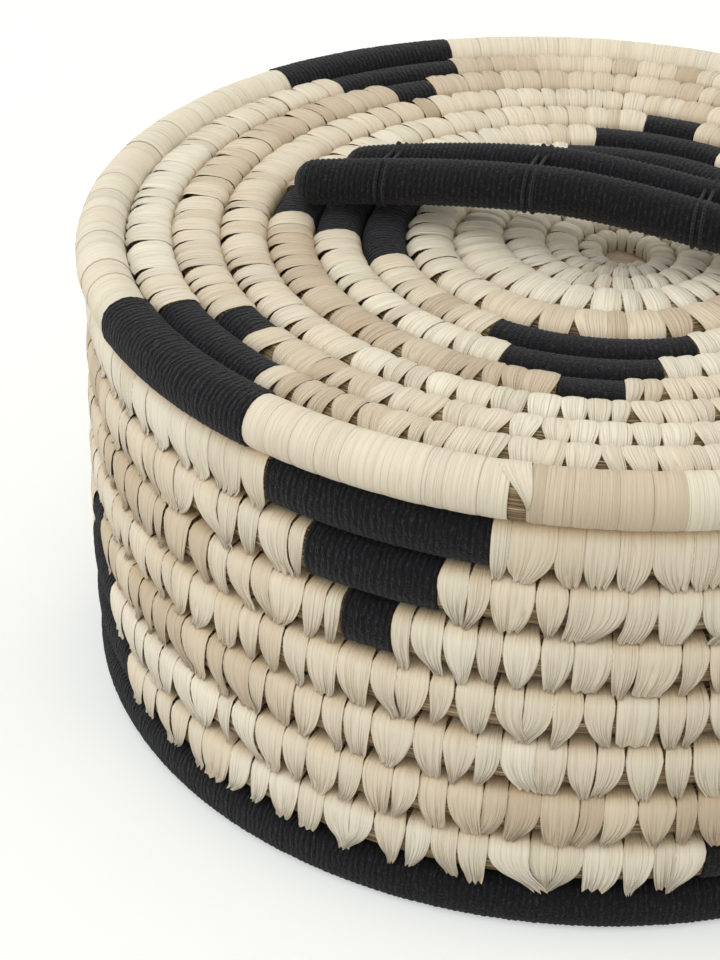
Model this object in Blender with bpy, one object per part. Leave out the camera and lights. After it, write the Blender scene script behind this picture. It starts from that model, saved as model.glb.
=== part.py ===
"""Round coiled basket box with a lift-off lid.

The box and the lid are long cords laid in turns, each one unbroken tube. Black yarn windings make the
stepped motifs, and two yarn-wound cords tied side by side make the handle.
Metres, +Z up. The origin is on the table, under the middle of the box.
"""
import math

import bmesh
import bpy
from mathutils import Matrix, Vector

# Driving dimensions
lid_diameter = 0.250
lid_overhang = 0.0020
rows_in_wall = 7
turns_in_lid = 11
turns_in_floor = 9

# Cords, as radii
wall_cord_radius = 0.00655
rim_cord_radius = 0.0061
handle_cord_radius = 0.00575

# Clearances
row_gap = 0.0006
turn_gap = 0.0006
eye_gap = 0.0014
seat_gap = 0.0003
mouth_clearance = 0.0022

# Windings: black yarn laid over a thinner stretch of cord
winding_thickness = 0.0009
winding_gap = 0.0003
shoulder_length = 0.0004

# Middle of the coils: the radius of the last turn, and how far the lid's eye lies off its centre
eye_turn_radius = 0.0094
lid_eye_x = 0.0050
lid_eye_y = -0.0060
lid_sink = 0.0030
foot_narrowing = 0.0013

# Handle
handle_length = 0.135
handle_rise = 0.0077
handle_middle_x = -0.0062
handle_middle_y = -0.0026
handle_heading_degrees = -15.5
rear_cord_set_in = 0.009
handle_arch_power = 1.6
handle_level_end = 0.0046
tie_thickness = 0.0009
tie_width = 0.0024
tie_gap = 0.0003

# Laying of the cords, in shares of a turn or of a size
sides = 6
points_per_turn = 24
coarse_points_per_turn = 12
fine_lid_turns = 7
flat_foot_share = 0.8
wall_step_share = 5 / 24
flat_step_share = 4 / 24
tail_turn_share = 3 / 24
eye_step_share = 0.9
eye_reach_share = 0.75
eye_roundness_share = 2.15
wall_seam_degrees = 60.0
flat_seam_degrees = 15.0

# Motifs: middles round the box in degrees, and the degrees that each row or turn of a motif covers.
# On the lid each turn of a motif has a middle of its own, because the weaver didn't line them up.
upper_motif_middles = (-114.4, -17.0, 73.0, 160.0)
lower_motif_middles = (-165.4, -65.0, 28.0, 117.0)
wall_motif_widths = (24.8, 14.8, 5.8)
rim_motif_middles = ((-141.8, -143.4, -146.1), (-55.0, -56.3, -57.2),
                     (30.0, 28.6, 28.0), (120.2, 118.1, 118.5))
rim_motif_widths = (26.2, 20.0, 7.4)
rim_motif_turns = (1, 2, 3)
inner_motif_middles = ((-95.5, -96.6, -94.1), (-13.0, -12.2, -14.0),
                       (72.0, 72.4, 71.4), (170.0, 166.6, 170.4))
inner_motif_widths = (50.0, 31.6, 11.4)
inner_motif_turns = (7, 6, 5)

# Handle's ties and rounded ends, in shares of its half length and of its cord radius
tie_place_shares = (-0.66, -0.12, 0.485, 0.8)
handle_end_shares = ((1.0, 0.45), (0.975, 0.8), (0.94, 0.96))
handle_body_end_share = 0.9
handle_body_steps = 18
handle_sides = 10
tie_arc_points = 12

# Worked out from the values above
hex_flat = math.cos(math.pi / sides)
row_pitch = 2 * wall_cord_radius + row_gap
foot_height = flat_foot_share * wall_cord_radius
top_row_height = foot_height + rows_in_wall * row_pitch
rim_radius = lid_diameter / 2 - rim_cord_radius
wall_radius = lid_diameter / 2 - lid_overhang - wall_cord_radius
foot_radius = wall_radius - foot_narrowing
floor_outer_step = wall_cord_radius * hex_flat + seat_gap
lid_seat_height = top_row_height + wall_cord_radius + seat_gap
rim_height = rim_cord_radius * hex_flat


def turn_pitch(first_outer_edge, turns):
    """Spacing of equal turns that fill a disc from an outer edge in to the eye turn."""
    return (first_outer_edge - turn_gap / 2 - eye_turn_radius) / (turns - 1 / 2)


lid_pitch = turn_pitch(rim_radius - rim_cord_radius, turns_in_lid - 1)
lid_cord_radius = (lid_pitch - turn_gap) / 2
second_turn_radius = rim_radius - rim_cord_radius - turn_gap - lid_cord_radius
floor_edge = foot_radius - floor_outer_step
floor_pitch = turn_pitch(floor_edge + turn_gap, turns_in_floor)
floor_cord_radius = (floor_pitch - turn_gap) / 2
floor_outer_radius = floor_edge - floor_cord_radius


def ease(share):
    """Smooth step from 0 to 1."""
    share = min(max(share, 0), 1)
    return share * share * (3 - 2 * share)


def steps_done(turn, window):
    """Turns laid so far: level for most of a turn, then over to the next within the window."""
    whole = math.floor(turn)
    return whole + ease((turn - whole - 1 + window) / window)


def station(seam_degrees, turn, radius, height, cord, middle=(0, 0)):
    """Places the unit cross-section of a cord: X outward, Y up, scaled to the cord."""
    angle = math.radians(seam_degrees) + math.tau * turn
    outward = Vector((math.cos(angle), math.sin(angle), 0))
    up = Vector((0, 0, 1))
    along = outward.cross(up)
    place = outward * radius + Vector((middle[0], middle[1], height))
    columns = (outward * cord, up * cord, along * cord, place)
    return Matrix([[column[row] for column in columns] for row in range(3)] + [[0, 0, 0, 1]])


class WallCoil:
    """Foot turn and wall rows in one rising coil, counted in turns from the foot."""

    first = -tail_turn_share
    last = rows_in_wall + 1 - wall_step_share + tail_turn_share

    def place(self, turn):
        laid = steps_done(max(turn, 0), wall_step_share)
        laid = min(laid, rows_in_wall)
        radius = foot_radius + (wall_radius - foot_radius) * ease(laid / 2)
        height = foot_height + laid * row_pitch
        cord = wall_cord_radius
        if turn < 0:
            share = ease(1 + turn / wall_step_share)
            room = row_pitch * share - row_gap - (1 - flat_foot_share) * wall_cord_radius
            cord = min(cord, room / (1 + flat_foot_share))
            height = flat_foot_share * cord
        level_end = rows_in_wall + 1 - wall_step_share
        if turn > level_end:
            share = ease((turn - level_end) / wall_step_share)
            cord = min(cord, (row_pitch * (1 - share) - row_gap) / 2)
            height = foot_height + rows_in_wall * row_pitch + wall_cord_radius - cord
        return station(wall_seam_degrees, turn, radius, height, cord)


def curled_in(radius_outside, cord_outside, cord, squeeze):
    """Radius and cord of the last turn, which thins as it curls into the eye inside its neighbour."""
    edge = radius_outside - cord_outside - turn_gap - eye_gap - squeeze
    cord = min(cord, edge / eye_roundness_share)
    return edge - cord, cord


class LidCoil:
    """Flat coil of the lid, counted in turns from the rim inwards; heights from the lid's seat."""

    first = -tail_turn_share
    last = turns_in_lid - 1 + eye_reach_share

    def window(self, turn):
        share = (math.floor(turn) - fine_lid_turns) / (turns_in_lid - 1 - fine_lid_turns)
        return flat_step_share + (eye_step_share - flat_step_share) * min(max(share, 0), 1)

    def lay(self, turn):
        """Radius and cord at a turn."""
        if turn < 0:
            room = ease(1 + turn / flat_step_share) * (2 * rim_cord_radius + turn_gap) - turn_gap
            cord = min(rim_cord_radius, room / 2)
            return rim_radius + rim_cord_radius - cord, cord
        angle = math.radians(flat_seam_degrees) + math.tau * turn
        toward_eye = lid_eye_x * math.cos(angle) + lid_eye_y * math.sin(angle)
        inner_cord = (lid_pitch * (1 - toward_eye / second_turn_radius) - turn_gap) / 2
        if turn > turns_in_lid - 1:
            squeeze = math.hypot(lid_eye_x, lid_eye_y) * lid_pitch / second_turn_radius
            return curled_in(*self.lay(turn - 1), inner_cord, squeeze)
        laid = steps_done(turn, self.window(turn))
        first_step = min(laid, 1)
        radius = rim_radius - (rim_radius - second_turn_radius) * first_step
        radius -= lid_pitch * max(laid - 1, 0)
        second_cord = min(inner_cord, lid_cord_radius)
        cord = rim_cord_radius + (second_cord - rim_cord_radius) * first_step
        cord += (inner_cord - second_cord) * min(max(laid - 1, 0), 1)
        return radius, cord

    def place(self, turn):
        radius, cord = self.lay(turn)
        eye_share = 1 - min(radius, second_turn_radius) / second_turn_radius
        middle = (lid_eye_x * eye_share, lid_eye_y * eye_share)
        inside_share = min(max(rim_radius - radius, 0) / (rim_radius - second_turn_radius), 1)
        height = rim_height - lid_sink * (1 - (radius / rim_radius) ** 2) * inside_share
        return station(flat_seam_degrees, turn, radius, height, cord, middle)


class FloorCoil:
    """Flat coil of the floor, counted in turns from the foot inwards."""

    first = -tail_turn_share
    last = turns_in_floor - 1 + eye_reach_share

    def lay(self, turn):
        """Radius and cord at a turn."""
        if turn < 0:
            room = floor_pitch * ease(1 + turn / flat_step_share) - turn_gap
            cord = min(floor_cord_radius, room / 2)
            return floor_edge - cord, cord
        if turn > turns_in_floor - 1:
            return curled_in(*self.lay(turn - 1), floor_cord_radius, 0)
        share_in = math.floor(turn) / (turns_in_floor - 1)
        window = flat_step_share + (eye_step_share - flat_step_share) * share_in ** 2
        return floor_outer_radius - floor_pitch * steps_done(turn, window), floor_cord_radius

    def place(self, turn):
        radius, cord = self.lay(turn)
        return station(flat_seam_degrees, turn, radius, foot_height, cord)


class LocatingCoil:
    """One turn under the lid, just inside the mouth, with its two ends scarfed side by side."""

    first = -tail_turn_share
    last = 1 - flat_step_share + tail_turn_share
    cord = lid_cord_radius
    radius = wall_radius - wall_cord_radius * hex_flat - mouth_clearance - lid_cord_radius

    def place(self, turn):
        cord = self.cord
        radius = self.radius
        width = 2 * self.cord + turn_gap
        if turn < 0:
            share = ease(1 + turn / flat_step_share)
            cord = min(cord, (width * share - turn_gap) / 2)
            radius = self.radius + self.cord - cord
        if turn > 1 - flat_step_share:
            share = ease((turn - 1 + flat_step_share) / flat_step_share)
            cord = min(cord, (width * (1 - share) - turn_gap) / 2)
            radius = self.radius - self.cord + cord
        second_turn_height = rim_height - lid_sink * (1 - (second_turn_radius / rim_radius) ** 2)
        height = second_turn_height - 2 * self.cord * hex_flat - seat_gap
        return station(flat_seam_degrees, turn, radius, height, cord)


def faceted(coil, turn, steps):
    """Cross-section at any turn, on the straight facet between its two even stations."""
    before = math.floor(turn * steps) / steps
    low = max(before, coil.first)
    high = min(before + 1 / steps, coil.last)
    if high <= low:
        return coil.place(turn)
    share = (turn - low) / (high - low)
    a = coil.place(low)
    b = coil.place(high)
    return Matrix([[a[i][j] * (1 - share) + b[i][j] * share for j in range(4)] for i in range(4)])


def cord_size(matrix):
    return matrix.col[1].to_3d().length


def thinned(matrix, loss):
    """The same cross-section with its cord radius made smaller."""
    share = (cord_size(matrix) - loss) / cord_size(matrix)
    return matrix @ Matrix.Diagonal((share, share, share, 1))


def turns_for(coil, turn, length):
    """Share of a turn that a length takes along the cord."""
    here = coil.place(turn).translation
    return length / (math.tau * math.hypot(here.x, here.y))


def steps_at(turn, fine_turns):
    return points_per_turn if turn < fine_turns else coarse_points_per_turn


def even_turns(first, last, fine_turns):
    """The even stations strictly between two turns: fine outside, coarse near the eye."""
    found = []
    for index in range(math.ceil(first * points_per_turn), math.floor(last * points_per_turn) + 1):
        turn = index / points_per_turn
        spacing = points_per_turn // steps_at(turn, fine_turns)
        if first < turn < last and index % spacing == 0:
            found.append(turn)
    return found


def coil_stations(coil, first, last, spans, fine_turns):
    """Stations of an unbroken cord, thinner under each winding, with a square shoulder at its ends."""
    loss = (winding_thickness + winding_gap) / hex_flat
    stops = [(turn, 0) for turn in [first, last] + even_turns(first, last, fine_turns)]
    for start, end in spans:
        shoulder = turns_for(coil, start, shoulder_length)
        clear = [stop for stop in stops if min(abs(stop[0] - start), abs(stop[0] - end)) > 2 * shoulder]
        stops = [(turn, loss if start < turn < end else thin) for turn, thin in clear]
        stops += [(start - shoulder, 0), (start, loss), (end, loss), (end + shoulder, 0)]
    stops.sort()
    return [thinned(faceted(coil, turn, steps_at(turn, fine_turns)), thin) for turn, thin in stops]


def least_gap(coil, first, last):
    """Least distance between the cord's own turns, on the points of its even stations."""
    count = math.floor((last - first) * points_per_turn)
    places = [coil.place(first + index / points_per_turn) for index in range(count + 1)]
    least = math.inf
    for index, one in enumerate(places):
        for other in places[index + points_per_turn * 2 // 3:]:
            apart = (one.translation - other.translation).length - cord_size(one) - cord_size(other)
            least = min(least, apart)
    return least


def disc_profile(mesh, count, turned):
    bmesh.ops.create_circle(mesh, cap_ends=True, segments=count, radius=1)
    bmesh.ops.rotate(mesh, verts=mesh.verts, matrix=Matrix.Rotation(turned, 3, "Z"))


def hexagon(mesh):
    """Corners point along the radius, for flat coils."""
    disc_profile(mesh, sides, math.pi / 2)


def standing_hexagon(mesh):
    """Corners point up and down, for stacked rows."""
    disc_profile(mesh, sides, 0)


def foot_hexagon(mesh):
    """Stacked row with its lowest corner cut flat for the table."""
    standing_hexagon(mesh)
    bmesh.ops.bisect_plane(mesh, geom=mesh.faces[:] + mesh.edges[:] + mesh.verts[:], clear_inner=True,
                           plane_co=(0, -flat_foot_share, 0), plane_no=(0, 1, 0))


def handle_round(mesh):
    disc_profile(mesh, handle_sides, 0)


def ring_profile(shape, bore_share):
    """The same outline with a smaller one bored through it."""
    def build(mesh):
        shape(mesh)
        bmesh.ops.inset_individual(mesh, faces=mesh.faces[:], thickness=hex_flat * (1 - bore_share),
                                   use_even_offset=True)
        inner = min(mesh.faces, key=lambda face: max(vertex.co.length for vertex in face.verts))
        bmesh.ops.delete(mesh, geom=[inner], context="FACES_ONLY")
    return build


def sweep(profile, stations):
    """Extrudes a flat profile from station to station into one closed solid."""
    mesh = bmesh.new()
    profile(mesh)
    bmesh.ops.transform(mesh, matrix=stations[0], verts=mesh.verts[:])
    front = mesh.faces[:]
    for index, (before, after) in enumerate(zip(stations, stations[1:])):
        grown = bmesh.ops.extrude_face_region(mesh, geom=front)["geom"]
        if index > 0:
            bmesh.ops.delete(mesh, geom=[face for face in front if face.is_valid], context="FACES_ONLY")
        front = [item for item in grown if isinstance(item, bmesh.types.BMFace)]
        moved = [item for item in grown if isinstance(item, bmesh.types.BMVert)]
        bmesh.ops.transform(mesh, matrix=after @ before.inverted(), verts=moved)
    bmesh.ops.recalc_face_normals(mesh, faces=mesh.faces[:])
    return mesh


def make_material(name, colour, roughness):
    material = bpy.data.materials.new(name)
    material.use_nodes = True
    shader = material.node_tree.nodes["Principled BSDF"]
    shader.inputs["Base Color"].default_value = (*colour, 1)
    shader.inputs["Roughness"].default_value = roughness
    material.diffuse_color = (*colour, 1)
    return material


def add_object(name, mesh, material, parent=None):
    data = bpy.data.meshes.new(name)
    mesh.to_mesh(data)
    mesh.free()
    data.materials.append(material)
    data.shade_smooth()
    data.set_sharp_from_angle(angle=math.radians(50))
    thing = bpy.data.objects.new(name, data)
    bpy.context.collection.objects.link(thing)
    thing.parent = parent
    return thing


def turn_span(row, middle, width, seam_degrees):
    """First and last turn of a winding on one row of a coil."""
    start = ((middle - width / 2 - seam_degrees) % 360) / 360
    return (row + start, row + start + width / 360)


def add_winding(name, coil, span, shape, fine_turns, yarn, parent=None):
    """Hollow sleeve of yarn over the thinned stretch of its cord."""
    start, end = span
    end_gap = turns_for(coil, start, winding_gap)
    steps = steps_at(start, fine_turns)
    inside = even_turns(start + 2 * end_gap, end - 2 * end_gap, fine_turns)
    stops = [start + end_gap] + inside + [end - end_gap]
    stations = [faceted(coil, turn, steps) for turn in stops]
    bore_share = 1 - winding_thickness / (hex_flat * cord_size(stations[len(stations) // 2]))
    add_object(name, sweep(ring_profile(shape, bore_share), stations), yarn, parent)


def build_box(leaf, yarn):
    wall = WallCoil()
    fine = wall.last + 1
    upper_rows = [rows_in_wall - index for index in range(len(wall_motif_widths))]
    lower_rows = [1 + index for index in range(len(wall_motif_widths))]
    spans = []
    upper = ("upper", upper_rows, upper_motif_middles)
    lower = ("lower", lower_rows, lower_motif_middles)
    for label, rows, middles in (upper, lower):
        for number, middle in enumerate(middles, 1):
            for row, width in zip(rows, wall_motif_widths):
                spans.append(turn_span(row, middle, width, wall_seam_degrees))
                name = f"{label}_motif_{number}_row_{rows_in_wall + 1 - row}"
                add_winding(name, wall, spans[-1], standing_hexagon, fine, yarn)
    split = turns_for(wall, 1, seat_gap)
    foot = coil_stations(wall, wall.first, 1, [], fine)
    rows = coil_stations(wall, 1 + split, wall.last, spans, fine)
    add_object("box_foot_coil", sweep(foot_hexagon, foot), yarn)
    add_object("box_wall_coil", sweep(standing_hexagon, rows), leaf)
    floor = FloorCoil()
    flat = coil_stations(floor, floor.first, floor.last, [], floor.first)
    add_object("box_floor_coil", sweep(hexagon, flat), leaf)
    print("least gap in wall coil, mm:", round(least_gap(wall, wall.first, wall.last) * 1000, 2))
    print("least gap in floor coil, mm:", round(least_gap(floor, floor.first, floor.last) * 1000, 2))


def build_lid(leaf, yarn, lid_frame):
    coil = LidCoil()
    spans = []
    rim = ("rim", rim_motif_turns, rim_motif_middles, rim_motif_widths)
    inner = ("inner", inner_motif_turns, inner_motif_middles, inner_motif_widths)
    for label, turns, motifs, widths in (rim, inner):
        for number, middles in enumerate(motifs, 1):
            for turn, middle, width in zip(turns, middles, widths):
                spans.append(turn_span(turn - 1, middle, width, flat_seam_degrees))
                name = f"{label}_motif_{number}_turn_{turn}"
                add_winding(name, coil, spans[-1], hexagon, fine_lid_turns, yarn, lid_frame)
    stations = coil_stations(coil, coil.first, coil.last, spans, fine_lid_turns)
    add_object("lid_coil", sweep(hexagon, stations), leaf, lid_frame)
    ring = LocatingCoil()
    ring_stations = coil_stations(ring, ring.first, ring.last, [], ring.last + 1)
    add_object("lid_locating_coil", sweep(hexagon, ring_stations), leaf, lid_frame)
    print("least gap in lid coil, mm:", round(least_gap(coil, coil.first, coil.last) * 1000, 2))
    print("least gap in locating coil, mm:", round(least_gap(ring, ring.first, ring.last) * 1000, 2))


def lid_top(distance):
    """Highest level of the lid's cords at a distance from the middle, from the seat."""
    sunk = lid_sink * (1 - (distance / rim_radius) ** 2)
    widest = 1 + math.hypot(lid_eye_x, lid_eye_y) / second_turn_radius
    return rim_height - sunk + (lid_pitch * widest - turn_gap) / 2 * hex_flat


def handle_axes():
    heading = math.radians(handle_heading_degrees)
    along = Vector((math.cos(heading), math.sin(heading), 0))
    return along, Vector((-along.y, along.x, 0)), Vector((0, 0, 1))


def handle_point(share, side):
    """Middle of a handle cord on its low arch. The rear cord starts further in and comes down there."""
    along, across, up = handle_axes()
    set_in = 2 * rear_cord_set_in / handle_length if side > 0 else 0
    own_share = share / (1 - set_in) if share < 0 else share
    arch_share = min(abs(own_share) / (1 - 2 * handle_level_end / handle_length), 1)
    reach = math.hypot(handle_middle_x, handle_middle_y) + handle_length / 2
    foot = lid_top(reach) + seat_gap + handle_cord_radius
    height = foot + handle_rise * (1 - arch_share ** handle_arch_power)
    middle = Vector((handle_middle_x, handle_middle_y, 0))
    return middle + along * (share * handle_length / 2) + across * side + up * height


def handle_frame(place, across, scale=1):
    """Cross-section frame square to the handle: X across, Y up."""
    up = handle_axes()[0].cross(across)
    columns = (across * scale, up * scale, across.cross(up) * scale, place)
    return Matrix([[column[row] for column in columns] for row in range(3)] + [[0, 0, 0, 1]])


def build_handle(yarn, thread, lid_frame):
    side = handle_cord_radius + seat_gap / 2
    body = [(handle_body_end_share * (2 * index / handle_body_steps - 1), 1)
            for index in range(handle_body_steps + 1)]
    left_end = [(-share, size) for share, size in handle_end_shares]
    shares = left_end + body + list(reversed(handle_end_shares))
    rear_start_share = 1 - 2 * rear_cord_set_in / handle_length
    cords = (("handle_front_cord", -1, 1), ("handle_rear_cord", 1, rear_start_share))
    for name, sign, start_share in cords:
        stations = []
        for share, size in shares:
            place = handle_point(share * start_share if share < 0 else share, sign * side)
            stations.append(handle_frame(place, handle_axes()[1], size * handle_cord_radius))
        add_object(name, sweep(handle_round, stations), yarn, lid_frame)
    for number, share in enumerate(tie_place_shares, 1):
        add_object(f"handle_tie_{number}", tie_mesh(share), thread, lid_frame)


def tie_profile(mesh):
    """Outline of the two cords side by side, as a thin flat ring."""
    side = handle_cord_radius + seat_gap / 2
    half_facet = math.pi / tie_arc_points
    inner_radius = (handle_cord_radius + tie_gap) / math.cos(half_facet)
    for radius in (inner_radius, inner_radius + tie_thickness):
        circle = bmesh.ops.create_circle(mesh, cap_ends=False, segments=tie_arc_points, radius=radius)
        made = circle["verts"]
        bmesh.ops.rotate(mesh, verts=made, matrix=Matrix.Rotation(half_facet, 3, "Z"))
        for sign in (-1, 1):
            half = [vertex for vertex in made if vertex.co.x * sign > 0]
            bmesh.ops.translate(mesh, verts=half, vec=(sign * side, 0, 0))
    bmesh.ops.bridge_loops(mesh, edges=mesh.edges[:])


def tie_mesh(share):
    """Band of doubled thread round both cords, following their slope."""
    half_width_share = tie_width / handle_length
    side = handle_cord_radius + seat_gap / 2
    ends = []
    for sign in (-1, 1):
        front, rear = (handle_point(share + sign * half_width_share, across) for across in (-side, side))
        ends.append(handle_frame((front + rear) / 2, (rear - front).normalized()))
    return sweep(tie_profile, ends)


def main():
    for thing in list(bpy.data.objects):
        bpy.data.objects.remove(thing, do_unlink=True)
    leaf = make_material("palm_leaf", (0.68, 0.56, 0.36), 0.6)
    yarn = make_material("black_yarn", (0.014, 0.014, 0.018), 0.85)
    thread = make_material("grey_thread", (0.045, 0.046, 0.055), 0.8)
    lid_frame = bpy.data.objects.new("lid_frame", None)
    lid_frame.location = (0, 0, lid_seat_height)
    bpy.context.collection.objects.link(lid_frame)
    build_box(leaf, yarn)
    build_lid(leaf, yarn, lid_frame)
    build_handle(yarn, thread, lid_frame)
    bpy.context.view_layer.update()


main()
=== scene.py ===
"""Coiled palm-leaf roti box with a lift-off lid.

Grass cords are coiled into the wall, the floor and the lid, and sewn with palm-leaf strips. Black yarn is
wound over the cord for the foot, the stepped motifs and the handle. Metres, +Z up.
"""

import math
import random

import bmesh
import bpy
from mathutils import Matrix, Vector, noise


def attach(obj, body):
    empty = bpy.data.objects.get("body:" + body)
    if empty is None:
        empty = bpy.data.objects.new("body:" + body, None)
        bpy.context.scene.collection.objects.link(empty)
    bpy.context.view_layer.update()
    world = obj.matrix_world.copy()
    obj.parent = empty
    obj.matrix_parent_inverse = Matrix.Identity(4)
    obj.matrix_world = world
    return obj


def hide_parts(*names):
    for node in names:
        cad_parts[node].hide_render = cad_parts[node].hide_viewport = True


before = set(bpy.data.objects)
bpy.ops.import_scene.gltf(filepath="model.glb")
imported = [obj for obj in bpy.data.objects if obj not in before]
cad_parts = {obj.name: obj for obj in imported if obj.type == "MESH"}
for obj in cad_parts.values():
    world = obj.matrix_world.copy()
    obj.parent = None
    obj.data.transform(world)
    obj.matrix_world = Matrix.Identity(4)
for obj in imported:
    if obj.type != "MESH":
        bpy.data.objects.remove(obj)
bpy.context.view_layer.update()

# Sizes of the box, as its cords are laid
lid_diameter = 0.250
lid_overhang = 0.0020
rows_in_wall = 7
turns_in_lid = 11
turns_in_floor = 9
wall_cord = 0.00655
rim_cord = 0.0061
handle_cord = 0.00575
turn_gap = 0.0006
eye_gap = 0.0014
seat_gap = 0.0003
mouth_clearance = 0.0022
eye_turn_radius = 0.0094
lid_eye = (0.0050, -0.0060)
lid_sink = 0.0030
foot_narrowing = 0.0013
foot_blend_rows = 2
flat_foot_share = 0.8
hex_flat = math.cos(math.pi / 6)

# Shares of a turn
wall_step = 5 / 24
flat_step = 4 / 24
tail = 3 / 24
eye_step = 0.9
eye_reach = 0.75
eye_roundness = 2.15
fine_lid_turns = 7
spiral_edges = (0.0366, 0.0366, 0.0338, 0.0258, 0.0228, 0.0172, 0.0134, 0.0098, 0.0066, 0.0040, 0.0030)
spiral_end = 11.9
spiral_shift = (0.0026, 0.0032)
spiral_blend = 2.5
spiral_sink = 0.3
wall_seam = 60.0
flat_seam = 15.0

# Motifs, in degrees
upper_middles = (-114.4, -17.0, 73.0, 160.0)
lower_middles = (-165.4, -65.0, 28.0, 117.0)
wall_widths = (24.8, 14.8, 5.8)
upper_rows = (7, 6, 5)
lower_rows = (1, 2, 3)
rim_middles = ((-141.8, -143.4, -146.1), (-55.0, -56.3, -57.2), (30.0, 28.6, 28.0), (120.2, 118.1, 118.5))
rim_widths = (26.2, 20.0, 7.4)
rim_turns = (0, 1, 2)
inner_middles = ((-95.5, -96.6, -94.1), (-13.0, -12.2, -14.0), (72.0, 72.4, 71.4), (170.0, 166.6, 170.4))
inner_widths = (50.0, 31.6, 11.4)
inner_turns = (6, 5, 4)

# Handle
handle_length = 0.135
handle_rise = 0.0077
handle_middle = (-0.0062, -0.0026)
handle_heading = -15.5
handle_arch_power = 1.6
handle_level_end = 0.0046
rear_cord_set_in = 0.009
handle_end_reach = 0.9
tie_places = (-0.66, -0.12, 0.485, 0.8)
tie_dip = 0.0012

# Strips
wall_strips_per_turn = 110.5
wall_strip_spread = 0.24
lid_strip_spacing = 0.0058
rim_strip_spacing = 0.0070
floor_strip_spacing = 0.0068
floor_press = 0.0012
centre_start = 8.0
rim_gap = (0.6785, 0.6839)
beige_end = 0.7255
fold_width = 0.0068
fold_lean = 0.0021
fold_shift = 0.0004
strip_divisions = 5
teeth_reach = 0.3
blunt_share = 0.35
odd_strip_share = 0.012
odd_strip_tones = (0.985, 1.0)
knot_spread = 0.0085
knot_height = 0.0013
knot_depth = 0.0012
knot_ripple = 0.0004

# Grass inside a cord: its share of the cord radius and how square it is. Its reach is in turns
wall_grass = (0.935, 2.25)
flat_grass = (0.95, 2.1)
rim_grass = (0.93, 2.0)
rim_grass_reach = 0.01
grass_over_table = 0.0008
rings_per_turn = 72
grass_length = 0.01

# Yarn and thread: a rib is one lay of the yarn, and its profile is in shares of the radius
yarn_pitch = 0.0014
cord_sides = 18
rib_profile = (0.974, 0.994, 1.0, 0.994)
handle_rib_profile = (0.95, 0.992, 1.0, 0.992)
winding_squareness = 2.5
winding_end = 0.97
yarn_waver = 0.7
foot_tip_share = 1.03
motif_tip_share = 1.04
motif_lean = 0.05
thread_radius = 0.00045
thread_spacing = 0.0020
thread_sides = 8
thread_steps = 64

# Camera, light and table
camera_place = Vector((-0.0475, -0.5320, 0.3701))
camera_pitch = 31.64
camera_roll = 1.99
camera_heading = -0.73
camera_lens = 90.2
camera_sensor = 36.0
sky_on_box = (0.86, 0.815, 0.705)
sky_seen = (0.99, 0.983, 0.94)
lamps = (("soft key", (-1.0, -0.8, 2.8), 21.5, (0.83, 0.93, 1.05)),
         ("left fill", (-3.3, -0.5, 1.6), 25.0, (1.0, 0.96, 0.89)))
lamp_size = 3.0
table_size = 6
table_drop = 0.0002
table_grey = (0.62, 0.62, 0.62, 1)
table_glow_colour = (0.93, 0.985, 1.0, 1)
table_glow = 0.41

# Worked out
row_pitch = 2 * wall_cord + turn_gap
foot_height = flat_foot_share * wall_cord
rim_radius = lid_diameter / 2 - rim_cord
wall_radius = lid_diameter / 2 - lid_overhang - wall_cord
foot_radius = wall_radius - foot_narrowing
lid_seat = foot_height + rows_in_wall * row_pitch + wall_cord + seat_gap
rim_height = rim_cord * hex_flat


def pitch_of(outer_edge, turns):
    """Distance from turn to turn that fills a flat coil from its outer edge to its eye."""
    return (outer_edge - turn_gap / 2 - eye_turn_radius) / (turns - 1 / 2)


lid_pitch = pitch_of(rim_radius - rim_cord, turns_in_lid - 1)
lid_cord = (lid_pitch - turn_gap) / 2
second_turn_radius = rim_radius - rim_cord - turn_gap - lid_cord
floor_edge = foot_radius - wall_cord * hex_flat - seat_gap
floor_pitch = pitch_of(floor_edge + turn_gap, turns_in_floor)
floor_cord = (floor_pitch - turn_gap) / 2


def ease(share):
    """Smooth change from 0 to 1."""
    share = min(max(share, 0), 1)
    return share * share * (3 - 2 * share)


def steps_done(turn, window):
    """Turns laid so far: level for most of a turn, then over to the next within the window."""
    whole = math.floor(turn)
    return whole + ease((turn - whole - 1 + window) / window)


def station(seam, turn, radius, height, cord, middle=(0, 0)):
    """Frame of the cord at a turn: X outward, Y up, in cord radii."""
    angle = math.radians(seam) + math.tau * turn
    out = Vector((math.cos(angle), math.sin(angle), 0))
    up = Vector((0, 0, 1))
    along = out.cross(up)
    place = out * radius + Vector((middle[0], middle[1], height))
    columns = (out * cord, up * cord, along * cord, place)
    return Matrix([[column[row] for column in columns] for row in range(3)] + [[0, 0, 0, 1]])


class Coil:
    """A cord laid in turns."""

    def stretch(self, turn):
        """How much further than its own width a turn has to reach to meet the turn outside it."""
        return 1.0

    def point(self, turn, section, face, tip):
        """Point on or round the cord at a turn."""
        turn = min(max(turn, self.first), self.last)
        return self.place(turn) @ section(face, tip * self.stretch(turn) if tip > 0 else tip)


class FlatCoil(Coil):
    """A coil whose turns lie one inside the other."""

    def stretch(self, turn):
        if turn < 1:
            return 1.0
        own = self.place(turn)
        outer = self.place(turn - 1)
        cord = own.to_3x3().col[0].length
        reach = (own.translation - outer.translation).length - outer.to_3x3().col[0].length
        return max(reach / (cord + turn_gap), 1.0)


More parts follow.
